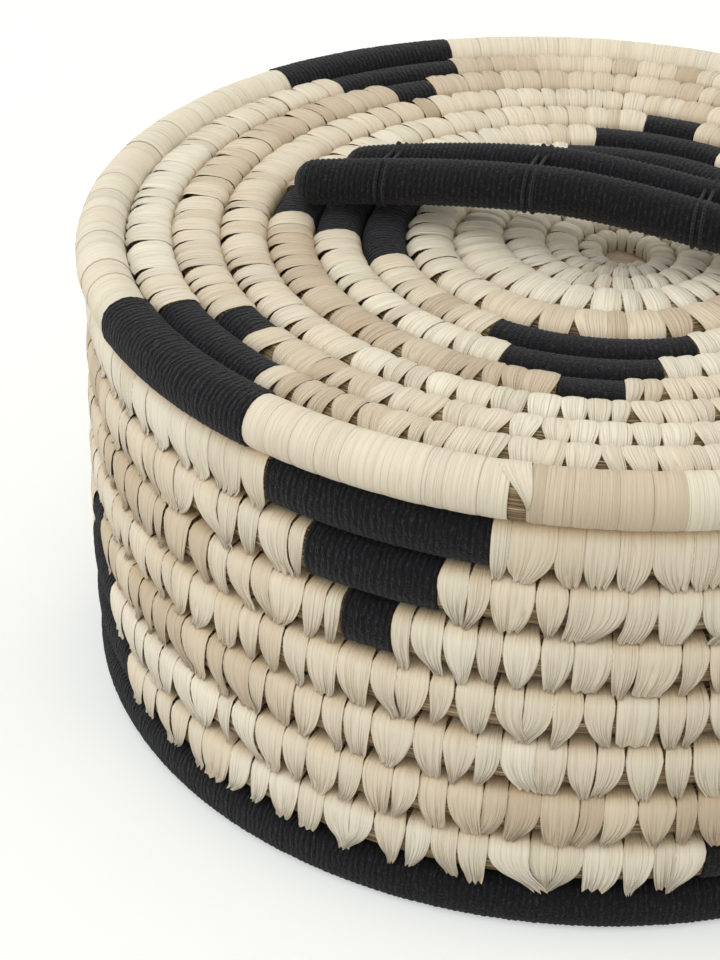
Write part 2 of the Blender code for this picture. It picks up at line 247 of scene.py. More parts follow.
class WallCoil(Coil):
    """Foot turn and wall rows in one rising coil."""

    first = -tail
    last = rows_in_wall + 1 - wall_step + tail

    def radius_at(self, turn):
        return wall_radius

    def place(self, turn):
        laid = min(steps_done(max(turn, 0), wall_step), rows_in_wall)
        radius = foot_radius + (wall_radius - foot_radius) * ease(laid / foot_blend_rows)
        height = foot_height + laid * row_pitch
        cord = wall_cord
        if turn < 0:
            room = row_pitch * ease(1 + turn / wall_step) - turn_gap - (1 - flat_foot_share) * wall_cord
            cord = min(cord, room / (1 + flat_foot_share))
            height = flat_foot_share * cord
        level_end = rows_in_wall + 1 - wall_step
        if turn > level_end:
            share = ease((turn - level_end) / wall_step)
            cord = min(cord, (row_pitch * (1 - share) - turn_gap) / 2)
            height = foot_height + rows_in_wall * row_pitch + wall_cord - cord
        return station(wall_seam, turn, radius, height, cord)


def curled_in(radius_outside, cord_outside, cord):
    """Radius and cord of the end of a flat coil, which curls in behind the turn outside it."""
    edge = radius_outside - cord_outside - turn_gap - eye_gap
    cord = min(cord, edge / eye_roundness)
    return edge - cord, cord


class LidCoil(FlatCoil):
    """Flat coil of the lid, from the rim inwards."""

    first = -tail
    last = spiral_end

    def edge(self, turn):
        """Outer edge of an inner turn: from the ninth on, the cord thins and runs in one even spiral."""
        halves = 2 * (turn - fine_lid_turns - 1)
        if halves <= 0:
            return second_turn_radius + lid_pitch * (1.5 - steps_done(turn, flat_step))
        index = min(int(halves), len(spiral_edges) - 2)
        return spiral_edges[index] + (spiral_edges[index + 1] - spiral_edges[index]) * (halves - index)

    def lay(self, turn):
        """Radius of the turn and of its cord."""
        if turn < 0:
            room = ease(1 + turn / flat_step) * (2 * rim_cord + turn_gap) - turn_gap
            cord = min(rim_cord, room / 2)
            return rim_radius + rim_cord - cord, cord
        angle = math.radians(flat_seam) + math.tau * turn
        toward_eye = lid_eye[0] * math.cos(angle) + lid_eye[1] * math.sin(angle)
        around_eye = 1 - toward_eye / second_turn_radius
        if turn > fine_lid_turns:
            outer, inner = self.edge(turn), self.edge(turn + 1)
            return (outer + inner) / 2, ((outer - inner) * around_eye - turn_gap) / 2
        inner_cord = (lid_pitch * around_eye - turn_gap) / 2
        laid = steps_done(turn, flat_step)
        first_step = min(laid, 1)
        radius = rim_radius - (rim_radius - second_turn_radius) * first_step
        radius -= lid_pitch * max(laid - 1, 0)
        second_cord = min(inner_cord, lid_cord)
        cord = rim_cord + (second_cord - rim_cord) * first_step
        cord += (inner_cord - second_cord) * min(max(laid - 1, 0), 1)
        return radius, cord

    def radius_at(self, turn):
        return self.lay(turn)[0]

    def place(self, turn):
        radius, cord = self.lay(turn)
        eye_share = 1 - min(radius, second_turn_radius) / second_turn_radius
        shift = ease((turn - fine_lid_turns) / spiral_blend)
        middle = [eye * eye_share + way * shift for eye, way in zip(lid_eye, spiral_shift)]
        inside = min(max(rim_radius - radius, 0) / (rim_radius - second_turn_radius), 1)
        height = lid_seat + rim_height - lid_sink * (1 - (radius / rim_radius) ** 2) * inside
        height -= spiral_sink * max(lid_cord - cord, 0) * shift
        return station(flat_seam, turn, radius, height, cord, middle)


class FloorCoil(FlatCoil):
    """Flat coil of the floor, from the foot inwards."""

    first = -tail
    last = turns_in_floor - 1 + eye_reach

    def lay(self, turn):
        """Radius of the turn and of its cord."""
        if turn < 0:
            cord = min(floor_cord, (floor_pitch * ease(1 + turn / flat_step) - turn_gap) / 2)
            return floor_edge - cord, cord
        if turn > turns_in_floor - 1:
            return curled_in(*self.lay(turn - 1), floor_cord)
        share = math.floor(turn) / (turns_in_floor - 1)
        window = flat_step + (eye_step - flat_step) * share ** 2
        return floor_edge - floor_cord - floor_pitch * steps_done(turn, window), floor_cord

    def radius_at(self, turn):
        return self.lay(turn)[0]

    def place(self, turn):
        radius, cord = self.lay(turn)
        return station(flat_seam, turn, radius, foot_height, cord)


class LocatingCoil(Coil):
    """One turn under the lid, just inside the mouth."""

    first = -tail
    last = 1 - flat_step + tail
    radius = wall_radius - wall_cord * hex_flat - mouth_clearance - lid_cord

    def radius_at(self, turn):
        return self.radius

    def place(self, turn):
        cord = lid_cord
        radius = self.radius
        width = 2 * lid_cord + turn_gap
        if turn < 0:
            cord = min(cord, (width * ease(1 + turn / flat_step) - turn_gap) / 2)
            radius = self.radius + lid_cord - cord
        if turn > 1 - flat_step:
            share = ease((turn - 1 + flat_step) / flat_step)
            cord = min(cord, (width * (1 - share) - turn_gap) / 2)
            radius = self.radius - lid_cord + cord
        second_turn_height = rim_height - lid_sink * (1 - (second_turn_radius / rim_radius) ** 2)
        height = lid_seat + second_turn_height - 2 * lid_cord * hex_flat - seat_gap
        return station(flat_seam, turn, radius, height, cord)


def turn_span(row, middle, width, seam):
    """First and last turn of a winding on one row of a coil."""
    start = ((middle - width / 2 - seam) % 360) / 360
    return (row + start, row + start + width / 360)


def faces_out(face, tip):
    """Cross-section of a wall row: its face looks outward and its strips end downward."""
    return Vector((face, -tip, 0))


def faces_up(face, tip):
    """Cross-section of a flat coil's turn: its face looks up and its strips end outward."""
    return Vector((tip, face, 0))


# Sheets: every strip, core and winding starts as a grid and is bent round its cord
def lay_sheet(mesh, across, along, shape, uv_size=(1, 1), marks=None):
    """Adds a grid bent by shape(u, v), with a UV map from 0 to uv_size and a value for each mark."""
    uv = mesh.loops.layers.uv.verify()
    made = bmesh.ops.create_grid(mesh, x_segments=across, y_segments=along, size=1, calc_uvs=True)["verts"]
    layers = [(mesh.verts.layers.float.get(name) or mesh.verts.layers.float.new(name), value)
              for name, value in (marks or {}).items()]
    for vertex in made:
        vertex.co = shape((vertex.co.x + 1) / 2, (vertex.co.y + 1) / 2)
        for layer, value in layers:
            vertex[layer] = value
    if uv_size != (1, 1):
        for face in {face for vertex in made for face in vertex.link_faces}:
            for loop in face.loops:
                loop[uv].uv = (loop[uv].uv.x * uv_size[0], loop[uv].uv.y * uv_size[1])
    return made


def new_sheets(*marks):
    """Empty mesh for sheets, with a UV map and a value layer for each mark."""
    mesh = bmesh.new()
    mesh.loops.layers.uv.new("UVMap")
    for name in marks:
        mesh.verts.layers.float.new(name)
    return mesh


def new_strips():
    return new_sheets("tone", "seed", "gather")


def close_seams(mesh, made):
    """Joins the sides and the gathered ends of a sheet that is bent into a tube."""
    bmesh.ops.remove_doubles(mesh, verts=made, dist=0.00001)


def add_piece(name, mesh, material, body, replaced=()):
    """Turns a finished mesh into a piece of the box that rides on a body."""
    data = bpy.data.meshes.new(name)
    mesh.to_mesh(data)
    mesh.free()
    data.materials.append(material)
    data.shade_smooth()
    piece = bpy.data.objects.new(name, data)
    bpy.context.collection.objects.link(piece)
    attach(piece, body)
    if replaced:
        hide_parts(*replaced)
    return piece


def between(rows, share):
    """Values of a table of rows at a share of its length."""
    place = share * (len(rows) - 1)
    index = min(int(place), len(rows) - 2)
    part = place - index
    return [a + (b - a) * part for a, b in zip(rows[index], rows[index + 1])]


# Routes of a strip round its cord, from its outer tip over its wide end to its back tip:
# toward the tip, toward the face, and width, as shares of the cord radius and of the strip's width
wall_strip_rows = ((1.28, 0.91, 0.18), (1.17, 0.84, 0.33), (1.00, 0.80, 0.45), (0.82, 0.87, 0.56),
                   (0.56, 0.95, 0.68), (0.26, 1.00, 0.81), (-0.12, 1.02, 0.94), (-0.50, 0.99, 1.01),
                   (-0.80, 0.88, 0.96), (-0.98, 0.62, 0.84), (-1.03, 0.0, 0.80), (-0.80, -0.80, 0.94),
                   (0.0, -1.03, 1.0), (0.80, -0.80, 0.80), (1.10, -0.40, 0.50))
lid_strip_rows = ((1.15, 0.50, 0.42), (1.02, 0.70, 0.56), (0.86, 0.86, 0.70), (0.55, 0.98, 0.86),
                  (0.15, 1.03, 0.98), (-0.30, 1.03, 1.02), (-0.68, 0.93, 1.00), (-0.92, 0.72, 0.92),
                  (-1.03, 0.40, 0.80), (-1.00, -0.4, 0.74), (-0.6, -0.93, 0.94), (0.45, -0.99, 0.86),
                  (0.98, -0.5, 0.68), (1.12, 0.0, 0.52))


def close_rows(reach, widths):
    """Route of a strip that lies close on a round cord, from pairs of an angle and a width."""
    return tuple((reach * math.cos(math.radians(angle)), reach * math.sin(math.radians(angle)), share)
                 for angle, share in widths)


rim_strip_rows = close_rows(1.01, [(angle, 1.0) for angle in range(-172, 189, 18)])
fold_rows = close_rows(1.035, ((-4, 0.03), (12, 0.22), (28, 0.42), (46, 0.64), (64, 0.85), (84, 1.0),
                               (104, 1.0), (125, 1.0), (145, 1.0)))


def lay_strip(mesh, coil, turn, width, rows, section, look, chance):
    """One palm-leaf strip round the cord, with its two tips pushed into the neighbouring turn."""
    length_of_turn = math.tau * coil.radius_at(turn)
    lift = chance.uniform(-1, 1) * look["lift"]
    narrow = chance.uniform(*look["narrow"])
    if chance.random() < look["blunt"]:
        narrow *= blunt_share
    taper = chance.uniform(*look["taper"])
    sway = chance.gauss(look["lean"], look["sway"])
    cut = chance.uniform(0, look["cut"])
    first_tooth = chance.randrange(2)
    teeth = [look["teeth"] * chance.uniform(0.2, 1.2) if (column + first_tooth) % 2 else 0
             for column in range(strip_divisions + 1)]
    folds = [chance.gauss(0, look["fold"]) for _ in range(strip_divisions + 1)]

    def shape(u, v):
        a = 2 * u - 1
        column = round(u * strip_divisions)
        v = cut + (1 - cut) * v
        _, _, share = between(rows, v)
        if v < teeth_reach:
            v += teeth[column] * (1 - v / teeth_reach)
        tip, face, _ = between(rows, v)
        share = 1 - max(1 - share, 0) ** taper * narrow + max(share - 1, 0)
        fold = folds[column] * (1.6 - share)
        proud = 1 + lift + look["crown"] * (1 - a * a) + look["tilt"] * a + fold - look["edge"] * a ** 8
        run = a * width / 2 * share + sway * max(tip + 0.3, 0) ** 2
        return coil.point(turn + run / length_of_turn, section, face * proud, tip * proud)

    # Neighbours come from one batch of leaf, and a few strips are odd ones
    batch = noise.noise(Vector((turn * 7.0, width * 30, look["crown"] * 900)))
    tone = look["tone"] + batch * look["batches"] + chance.uniform(-0.28, 0.28) * look["batches"]
    tone = min(max(tone, 0.0), 0.95)
    if chance.random() < odd_strip_share:
        tone = chance.uniform(*odd_strip_tones)
    marks = {"tone": tone, "seed": chance.random(), "gather": look["gather"]}
    lay_sheet(mesh, strip_divisions, len(rows) - 1, shape, marks=marks)


def free_stretches(first, last, spans):
    """Stretches of a coil between its yarn windings."""
    stretches = []
    start = first
    for span_start, span_end in sorted(spans):
        if span_end < first or span_start > last:
            continue
        if span_start > start:
            stretches.append((start, span_start))
        start = max(start, span_end)
    if start < last:
        stretches.append((start, last))
    return stretches


def spaced_edges(coil, start, end, spacing, spread, chance):
    """Edges of strips of uneven width that fill a stretch, closer together on a thinner cord."""
    edges = [start]
    while edges[-1] < end:
        cord = coil.place(edges[-1]).to_3x3().col[0].length
        step = spacing * min(cord / lid_cord, 1) * (1 + chance.uniform(-spread, spread))
        edges.append(edges[-1] + step / (math.tau * coil.radius_at(edges[-1])))
    fit = (end - start) / (edges[-1] - start)
    return [start + (edge - start) * fit for edge in edges]


def staggered_edges(start, end, per_turn, spread, chance):
    """Edges of strips that lie half a strip over from those of the turn before."""
    end_room = 0.45
    first = math.ceil(start * per_turn + end_room)
    last = math.floor(end * per_turn - end_room)
    inner = [(index + chance.uniform(-spread, spread)) / per_turn for index in range(first, last + 1)]
    return [start] + inner + [end]


def lay_strips(mesh, coil, edges, rows, section, look, chance):
    """Strips side by side between the edges, the first and the last close against what is beside them."""
    for left, right in zip(edges, edges[1:]):
        middle = (left + right) / 2
        width = (right - left) * math.tau * coil.radius_at(middle)
        overlap = 1.08 if left == edges[0] or right == edges[-1] else chance.uniform(*look["overlap"])
        lay_strip(mesh, coil, middle, width * overlap, rows, section, look, chance)


def rounded(angle, power):
    """Point of a rounded square outline at an angle."""
    c = math.cos(angle)
    s = math.sin(angle)
    size = (abs(c) ** power + abs(s) ** power) ** (-1 / power)
    return c * size, s * size


def lay_core(mesh, coil, first, last, section, size, power):
    """Bundle of grass inside a coil, closed at both ends."""
    stations = max(int((last - first) * rings_per_turn), 2)

    def shape(u, v):
        ring = round(u * (stations + 2))
        share = min(max(ring - 1, 0), stations) / stations
        reach = 0 if ring in (0, stations + 2) else size
        tip, face = rounded(math.tau * v, power)
        return coil.point(first + (last - first) * share, section, face * reach, tip * reach)

    length = (last - first) * math.tau * coil.radius_at((first + last) / 2)
    close_seams(mesh, lay_sheet(mesh, stations + 2, cord_sides, shape, uv_size=(length / grass_length, 4)))


def lay_winding(mesh, coil, start, end, section, tip_share, lean=0.0):
    """Yarn wound close round the cord: one rib for each lay, with grooves between."""
    length = (end - start) * math.tau * coil.radius_at((start + end) / 2)
    ribs = max(round(length / yarn_pitch), 1)
    rings = ribs * len(rib_profile)
    chance = random.Random(round(start * 1000))
    fullness = [chance.uniform(-0.010, 0.004) for _ in range(ribs + 1)]

    def shape(u, v):
        ring = round(u * rings)
        angle = math.tau * v - math.pi / 2
        tip, face = rounded(angle, winding_squareness)
        size = rib_profile[ring % len(rib_profile)] + fullness[ring // len(rib_profile)]
        if ring < 2 or ring > rings - 2:
            size *= winding_end
        waver = noise.noise(Vector((ring / 10, 2.5 * math.cos(angle), start * 90 + 2.5 * math.sin(angle))))
        shift = (lean * math.sin(angle) + yarn_waver * waver * math.sin(math.pi * u)) * yarn_pitch / length
        if ring in (0, rings):
            size = shift = 0
        return coil.point(start + (end - start) * (u + shift), section, face * size, tip * tip_share * size)

    close_seams(mesh, lay_sheet(mesh, rings, cord_sides, shape, uv_size=(ribs, 1)))


# Materials
def node(tree, kind, **settings):
    """New node with values for its inputs or its own settings."""
    made = tree.nodes.new(kind)
    for name, value in settings.items():
        if name in made.inputs:
            made.inputs[name].default_value = value
        else:
            setattr(made, name, value)
    return made


def new_material(name):
    material = bpy.data.materials.new(name)
    material.use_nodes = True
    return material, material.node_tree, material.node_tree.nodes["Principled BSDF"]


def math_node(tree, operation, first, second=None, third=None):
    made = tree.nodes.new("ShaderNodeMath")
    made.operation = operation
    for socket, value in zip(made.inputs, (first, second, third)):
        if value is None:
            continue
        if isinstance(value, (int, float)):
            socket.default_value = value
        else:
            tree.links.new(value, socket)
    return made.outputs[0]


def scaled_difference(tree, first, second, factor):
    """The first value minus the second, times a factor."""
    return math_node(tree, "MULTIPLY", math_node(tree, "SUBTRACT", first, second), factor)


def distance_from(tree, value, level):
    return math_node(tree, "ABSOLUTE", math_node(tree, "SUBTRACT", value, level))


def clamped(tree, value):
    made = tree.nodes.new("ShaderNodeClamp")
    tree.links.new(value, made.inputs["Value"])
    return made.outputs[0]


def noise_of(tree, vector, scale, detail=2.0, roughness=0.5):
    made = tree.nodes.new("ShaderNodeTexNoise")
    tree.links.new(vector, made.inputs["Vector"])
    for name, value in (("Scale", scale), ("Detail", detail), ("Roughness", roughness)):
        if isinstance(value, (int, float)):
            made.inputs[name].default_value = value
        else:
            tree.links.new(value, made.inputs[name])
    return made.outputs["Fac"]


def ramp(tree, value, stops):
    made = tree.nodes.new("ShaderNodeValToRGB")
    elements = made.color_ramp.elements
    while len(elements) < len(stops):
        elements.new(0.5)
    for element, (position, colour) in zip(elements, stops):
        element.position = position
        element.color = (*colour, 1)
    tree.links.new(value, made.inputs["Fac"])
    return made.outputs["Color"]


def blend(tree, factor, first, second):
    """Colour that goes from the first to the second with the factor."""
    made = tree.nodes.new("ShaderNodeMix")
    made.data_type = "RGBA"
    for name, value in (("Factor", factor), ("A", first), ("B", second)):
        socket = made.inputs[name]
        if isinstance(value, (int, float)):
            socket.default_value = value
        elif isinstance(value, tuple):
            socket.default_value = (*value, 1)
        else:
            tree.links.new(value, socket)
    return made.outputs["Result"]


def attribute(tree, name):
    made = tree.nodes.new("ShaderNodeAttribute")
    made.attribute_name = name
    return made.outputs["Fac"]


def bumped(tree, shader, height, distance):
    bump = node(tree, "ShaderNodeBump", Distance=distance)
    tree.links.new(height, bump.inputs["Height"])
    tree.links.new(bump.outputs["Normal"], shader.inputs["Normal"])


def new_group(name, inputs, outputs):
    """Empty node group with its named sockets."""
    group = bpy.data.node_groups.new(name, "ShaderNodeTree")
    for direction, sockets in (("INPUT", inputs), ("OUTPUT", outputs)):
        for label, kind in sockets:
            group.interface.new_socket(label, in_out=direction, socket_type=kind)
    return group, group.nodes.new("NodeGroupInput").outputs, group.nodes.new("NodeGroupOutput").inputs


def place_group(tree, group, **values):
    """Puts a node group in a material with its own values."""
    made = tree.nodes.new("ShaderNodeGroup")
    made.node_tree = group
    for name, value in values.items():
        if isinstance(value, bpy.types.NodeSocket):
            tree.links.new(value, made.inputs[name])
        else:
            made.inputs[name].default_value = value
    return made.outputs


def streak_group():
    """Streaks that run along a sheet: noise stretched in its UV map."""
    group, given, result = new_group(
        "streaks",
        (("Scale", "NodeSocketVector"), ("Offset", "NodeSocketVector"), ("Detail", "NodeSocketFloat"),
         ("Roughness", "NodeSocketFloat")),
        (("Value", "NodeSocketFloat"),))
    uv = node(group, "ShaderNodeUVMap", uv_map="UVMap").outputs["UV"]
    placed = group.nodes.new("ShaderNodeVectorMath")
    placed.operation = "MULTIPLY_ADD"
    for socket, value in zip(placed.inputs, (uv, given["Scale"], given["Offset"])):
        group.links.new(value, socket)
    value = noise_of(group, placed.outputs[0], 1.0, given["Detail"], given["Roughness"])
    group.links.new(value, result["Value"])
    return group


streaks = streak_group()


def streaks_of(tree, scale, offset=(0.0, 0.0, 0.0), detail=2.0, roughness=0.6):
    placed = place_group(tree, streaks, Scale=scale, Offset=offset, Detail=detail, Roughness=roughness)
    return placed["Value"]


def uv_parts(tree):
    """The two values of the UV map: across a strip or along a winding, and the other way."""
    uv = node(tree, "ShaderNodeUVMap", uv_map="UVMap").outputs["UV"]
    parts = tree.nodes.new("ShaderNodeSeparateXYZ")
    tree.links.new(uv, parts.inputs["Vector"])
    return parts.outputs["X"], parts.outputs["Y"]


def yarn_group():
    """Close-wound cotton yarn: painted shade in the groove between ribs, broken fibres with a painted
    glint, and a little fuzz.
    """
    group, given, result = new_group(
        "wound yarn",
        (("Colour", "NodeSocketColor"), ("Glint", "NodeSocketColor")),
        (("Colour", "NodeSocketColor"), ("Height", "NodeSocketFloat")))
    along, _ = uv_parts(group)
    # rib is lowest in the groove between ribs, where the colour goes dark as painted shade
    rib = math_node(group, "PINGPONG", along, 0.5)
    plies = streaks_of(group, (3.1, 22.0, 1.0))
    coordinates = group.nodes.new("ShaderNodeTexCoord").outputs["Object"]
    fuzz = noise_of(group, coordinates, 1500.0, 3.0, 0.8)
    mixed = math_node(group, "MULTIPLY_ADD", plies, 0.55, math_node(group, "MULTIPLY", fuzz, 0.55))
    mixed = math_node(group, "MULTIPLY_ADD", rib, 0.20, math_node(group, "SUBTRACT", mixed, 0.1))
    # Low values go dark, painted shade in the grooves and between plies; high ones go to the glint colour,
    # a painted highlight
    lit = clamped(group, math_node(group, "MULTIPLY_ADD", mixed, 5.5, -2.1))
    painted_glint = clamped(group, math_node(group, "MULTIPLY_ADD", mixed, 4.5, -2.5))
    dark = blend(group, 0.65, given["Colour"], (0.0, 0.0, 0.0))
    colour = blend(group, painted_glint, blend(group, lit, dark, given["Colour"]), given["Glint"])
    group.links.new(colour, result["Colour"])
    group.links.new(mixed, result["Height"])
    return group


def leaf_material():
    """Dry palm leaf: fine lengthwise veins, a few creases, dark joint lines and a tone for each strip, with
    painted shade in the creases, at the tips and in the valley between rows.
    """
    tone_stops = ((0.0, (0.90, 0.855, 0.75)), (0.10, (0.82, 0.77, 0.65)), (0.42, (0.835, 0.757, 0.635)),
                  (0.70, (0.78, 0.69, 0.555)), (0.92, (0.65, 0.555, 0.43)), (0.98, (0.63, 0.52, 0.40)),
                  (1.0, (0.56, 0.45, 0.32)))
    vein_colour = (0.60, 0.48, 0.32)
    age_colour = (0.62, 0.52, 0.36)
    # painted shade: warm brown where each strip comes out from under the tips of the row above
    row_valley_shade_colour = (0.60, 0.42, 0.22)
    # dark brown for the joint lines at strip edges and for painted shade at the tips and in creases
    joint_and_shade_colour = (0.30, 0.165, 0.07)
    material, tree, shader = new_material("dry palm leaf")
    across, along = uv_parts(tree)
    seed = attribute(tree, "seed")
    tone = attribute(tree, "tone")
    shift = tree.nodes.new("ShaderNodeCombineXYZ")
    tree.links.new(math_node(tree, "MULTIPLY", seed, 70.0), shift.inputs["X"])
    tree.links.new(math_node(tree, "MULTIPLY", seed, 13.0), shift.inputs["Z"])
    offset = shift.outputs["Vector"]
    # The gather value sets the fold bumps near the tips and also how much painted shade the tips, creases
    # and row valleys get
    gather = attribute(tree, "gather")
    veins = streaks_of(tree, (40.0, 1.2, 1.0), offset)
    pleats = streaks_of(tree, (7.5, 0.7, 1.0), offset, 1.0, 0.5)
    blotch = streaks_of(tree, (1.6, 2.5, 1.0), offset, 2.0, 0.5)
    near_tip = clamped(tree, scaled_difference(tree, 0.44, along, 4.0))
    gathered = math_node(tree, "MULTIPLY", near_tip, gather)
    valley = distance_from(tree, pleats, 0.47)
    # Painted shade along the crease valleys, strongest near the gathered tips; the creases themselves are
    # only bumps
    crease_shade = clamped(tree, math_node(tree, "SUBTRACT", 1.0, math_node(tree, "MULTIPLY", valley, 30.0)))
    crease_shade = math_node(tree, "MULTIPLY", crease_shade, math_node(tree, "MULTIPLY_ADD", gathered, 0.50, 0.20))
    tones = ramp(tree, tone, tone_stops)
    veined = blend(tree, scaled_difference(tree, veins, 0.42, 0.48), tones, vein_colour)
    aged = blend(tree, scaled_difference(tree, blotch, 0.5, 0.6), veined, age_colour)
    # Dark joint line along each strip's edge, partly painted shade where neighbours overlap
    side = distance_from(tree, across, 0.5)
    edge = scaled_difference(tree, side, 0.468, 20.0)
    edge = math_node(tree, "MAXIMUM", math_node(tree, "MINIMUM", edge, 0.55), 0.0)
    # Painted shade near each tip, where it tucks into the seam, stronger the more the strip is gathered
    tip = clamped(tree, scaled_difference(tree, 0.20, along, 5.0))
    tip = math_node(tree, "MULTIPLY", tip, math_node(tree, "MULTIPLY_ADD", gather, 0.32, 0.10))
    # Dark joint lines together with the painted shade at the tips and in creases
    joint_lines_and_shade = math_node(tree, "MAXIMUM", math_node(tree, "MAXIMUM", edge, tip), crease_shade)
    # Painted shade in the valley between rows; strips with little gather, as on the rim, get none
    row_valley_shade = clamped(tree, math_node(tree, "MULTIPLY_ADD", distance_from(tree, along, 0.62), -8.0, 1.0))
    sewn = clamped(tree, math_node(tree, "MULTIPLY_ADD", gather, 4.0, -0.24))
    row_valley_shade = math_node(tree, "MULTIPLY", math_node(tree, "MULTIPLY", row_valley_shade, sewn), 0.6)
    row_valley_shaded = blend(tree, row_valley_shade, aged, row_valley_shade_colour)
    tree.links.new(blend(tree, joint_lines_and_shade, row_valley_shaded, joint_and_shade_colour), shader.inputs["Base Color"])
    shader.inputs["Roughness"].default_value = 0.48
    shader.inputs["Specular IOR Level"].default_value = 0.4
    folded = math_node(tree, "MULTIPLY", valley, math_node(tree, "MULTIPLY_ADD", gathered, 3.0, 1.0))
    bumped(tree, shader, math_node(tree, "MULTIPLY_ADD", veins, 0.20, folded), 0.0008)
    return material


def grass_material():
    """Bundle of dry grass stalks that run along the cord, darkened in part as painted shade for the gaps it
    shows through.
    """
    # The near-black and dark brown stops between the stalks are partly painted shade for the gaps where the
    # grass shows between strips
    stalk_stops = ((0.38, (0.035, 0.015, 0.009)), (0.47, (0.19, 0.10, 0.05)), (0.56, (0.44, 0.31, 0.17)),
                   (0.68, (0.74, 0.62, 0.41)))
    olive = (0.50, 0.44, 0.22)
    material, tree, shader = new_material("grass core")
    stalks = streaks_of(tree, (0.45, 20.0, 1.0))
    broad = streaks_of(tree, (0.9, 5.0, 1.0), detail=1.0, roughness=0.5)
    colour = ramp(tree, stalks, stalk_stops)
    patched = blend(tree, math_node(tree, "MULTIPLY", broad, 0.3), colour, olive)
    tree.links.new(patched, shader.inputs["Base Color"])
    shader.inputs["Roughness"].default_value = 0.5
    bumped(tree, shader, stalks, 0.0012)
    return material


wound_yarn = yarn_group()


def yarn_material(name, colour, glint):
    """Wound yarn or thread in a colour, with a painted glint on its fibres and painted shade in its
    grooves.
    """
    material, tree, shader = new_material(name)
    surface = place_group(tree, wound_yarn, Colour=(*colour, 1), Glint=(*glint, 1))
    tree.links.new(surface["Colour"], shader.inputs["Base Color"])
    shader.inputs["Roughness"].default_value = 0.8
    shader.inputs["Specular IOR Level"].default_value = 0.22
    shader.inputs["Sheen Weight"].default_value = 0.14
    shader.inputs["Sheen Roughness"].default_value = 0.35
    shader.inputs["Sheen Tint"].default_value = (0.85, 0.9, 1.0, 1)
    bumped(tree, shader, surface["Height"], 0.0010)
    return material


leaf = leaf_material()
grass = grass_material()
# The glint colour is a painted highlight: grey dashes on the ribs where they would catch the light
black_yarn = yarn_material("black yarn", (0.0078, 0.0076, 0.0110), (0.056, 0.056, 0.070))
# The ties are dark yarn made lighter, with a brighter glint: painted highlight for the light from above
# catching them
painted_highlight_thread = yarn_material("thread with painted highlight", (0.020, 0.020, 0.025), (0.12, 0.12, 0.14))

# The box
wall = WallCoil()
lid = LidCoil()
floor = FloorCoil()
ring = LocatingCoil()


def motif_spans(motifs, widths, rows, seam):
    """For each motif of a ring of motifs, the span of each of its rows."""
    return [[turn_span(row, middle, width, seam) for row, middle, width in zip(rows, middles, widths)]
            for middles in motifs]


upper_spans = motif_spans([(middle,) * 3 for middle in upper_middles], wall_widths, upper_rows, wall_seam)
lower_spans = motif_spans([(middle,) * 3 for middle in lower_middles], wall_widths, lower_rows, wall_seam)
rim_spans = motif_spans(rim_middles, rim_widths, rim_turns, flat_seam)
inner_spans = motif_spans(inner_middles, inner_widths, inner_turns, flat_seam)
wall_spans = [span for motif in upper_spans + lower_spans for span in motif]
lid_spans = [span for motif in rim_spans + inner_spans for span in motif]


def strip_look(**changes):
    """How strips lie in one place: shares of the cord radius or the strip, with sway and lean in metres."""
    # The gather value sets the fold bumps near the tips and also how much painted shade the tips, creases
    # and row valleys get
    look = {"lift": 0.012, "crown": 0.018, "tilt": 0.006, "edge": 0.035, "fold": 0.018,
            "narrow": (0.5, 1.0), "taper": (1.0, 1.0), "blunt": 0.2, "teeth": 0.0, "cut": 0.02,
            "sway": 0.0004, "lean": 0.0, "overlap": (0.97, 1.10),
            "gather": 1.0, "tone": 0.45, "batches": 0.9}
    look.update(changes)
    return look


wall_look = strip_look(crown=0.006, edge=0.016, fold=0.014, narrow=(0.5, 1.1), taper=(0.85, 1.2),
                       blunt=0.12, teeth=0.08, cut=0.10, sway=0.0009, overlap=(0.94, 1.08), gather=0.7)
top_row_look = strip_look(lift=0.006, crown=0.004, edge=0.012, fold=0.008, narrow=(0.85, 1.0),
                          taper=(1.4, 2.2), blunt=0.0, teeth=0.10, cut=0.05, sway=0.0006,
                          overlap=(1.04, 1.12), gather=0.5)
lid_look = strip_look(crown=0.035, edge=0.050, fold=0.012, narrow=(0.25, 0.95), overlap=(0.99, 1.10),
                      gather=0.3)
# The middle's strips take the lightest tone, painted light that offsets the shade of the handle and the
# sunk middle
centre_look = strip_look(crown=0.08, tilt=0.0, edge=0.11, fold=0.015, narrow=(0.3, 0.9), blunt=0.1,
                         sway=0.0002, overlap=(0.97, 1.06), gather=0.2, tone=0.0, batches=0.3)
rim_look = strip_look(lift=0.010, crown=0.004, tilt=0.004, edge=0.018, fold=0.004, narrow=(1.0, 1.0),
                      blunt=0.0, cut=0.0, sway=0.0, overlap=(1.02, 1.08), gather=0.06, tone=0.28,
                      batches=0.5)
beige_rim_look = dict(rim_look, tone=0.92, batches=0.15)


def keep_above(mesh, height):
    """Flattens a mesh where it would pass through the table."""
    for vertex in mesh.verts:
        vertex.co.z = max(vertex.co.z, height)


def sew_wall():
    """Strips of the wall, the top row's cut shorter, with the grass inside."""
    chance = random.Random(11)
    mesh = new_strips()
    core = new_sheets()
    for start, end in free_stretches(1.0, wall.last, wall_spans):
        edges = staggered_edges(start, end, wall_strips_per_turn, wall_strip_spread, chance)
        below = [edge for edge in edges if edge <= rows_in_wall]
        above = [edge for edge in edges if edge > rows_in_wall]
        for some, look in ((below, wall_look), (below[-1:] + above, top_row_look)):
            if len(some) > 1:
                lay_strips(mesh, wall, some, wall_strip_rows, faces_out, look, chance)
        lay_core(core, wall, start, end, faces_out, *wall_grass)
    add_piece("wall_strips", mesh, leaf, "box", ("box_wall_coil",))
    keep_above(core, grass_over_table)
    add_piece("wall_grass", core, grass, "box")


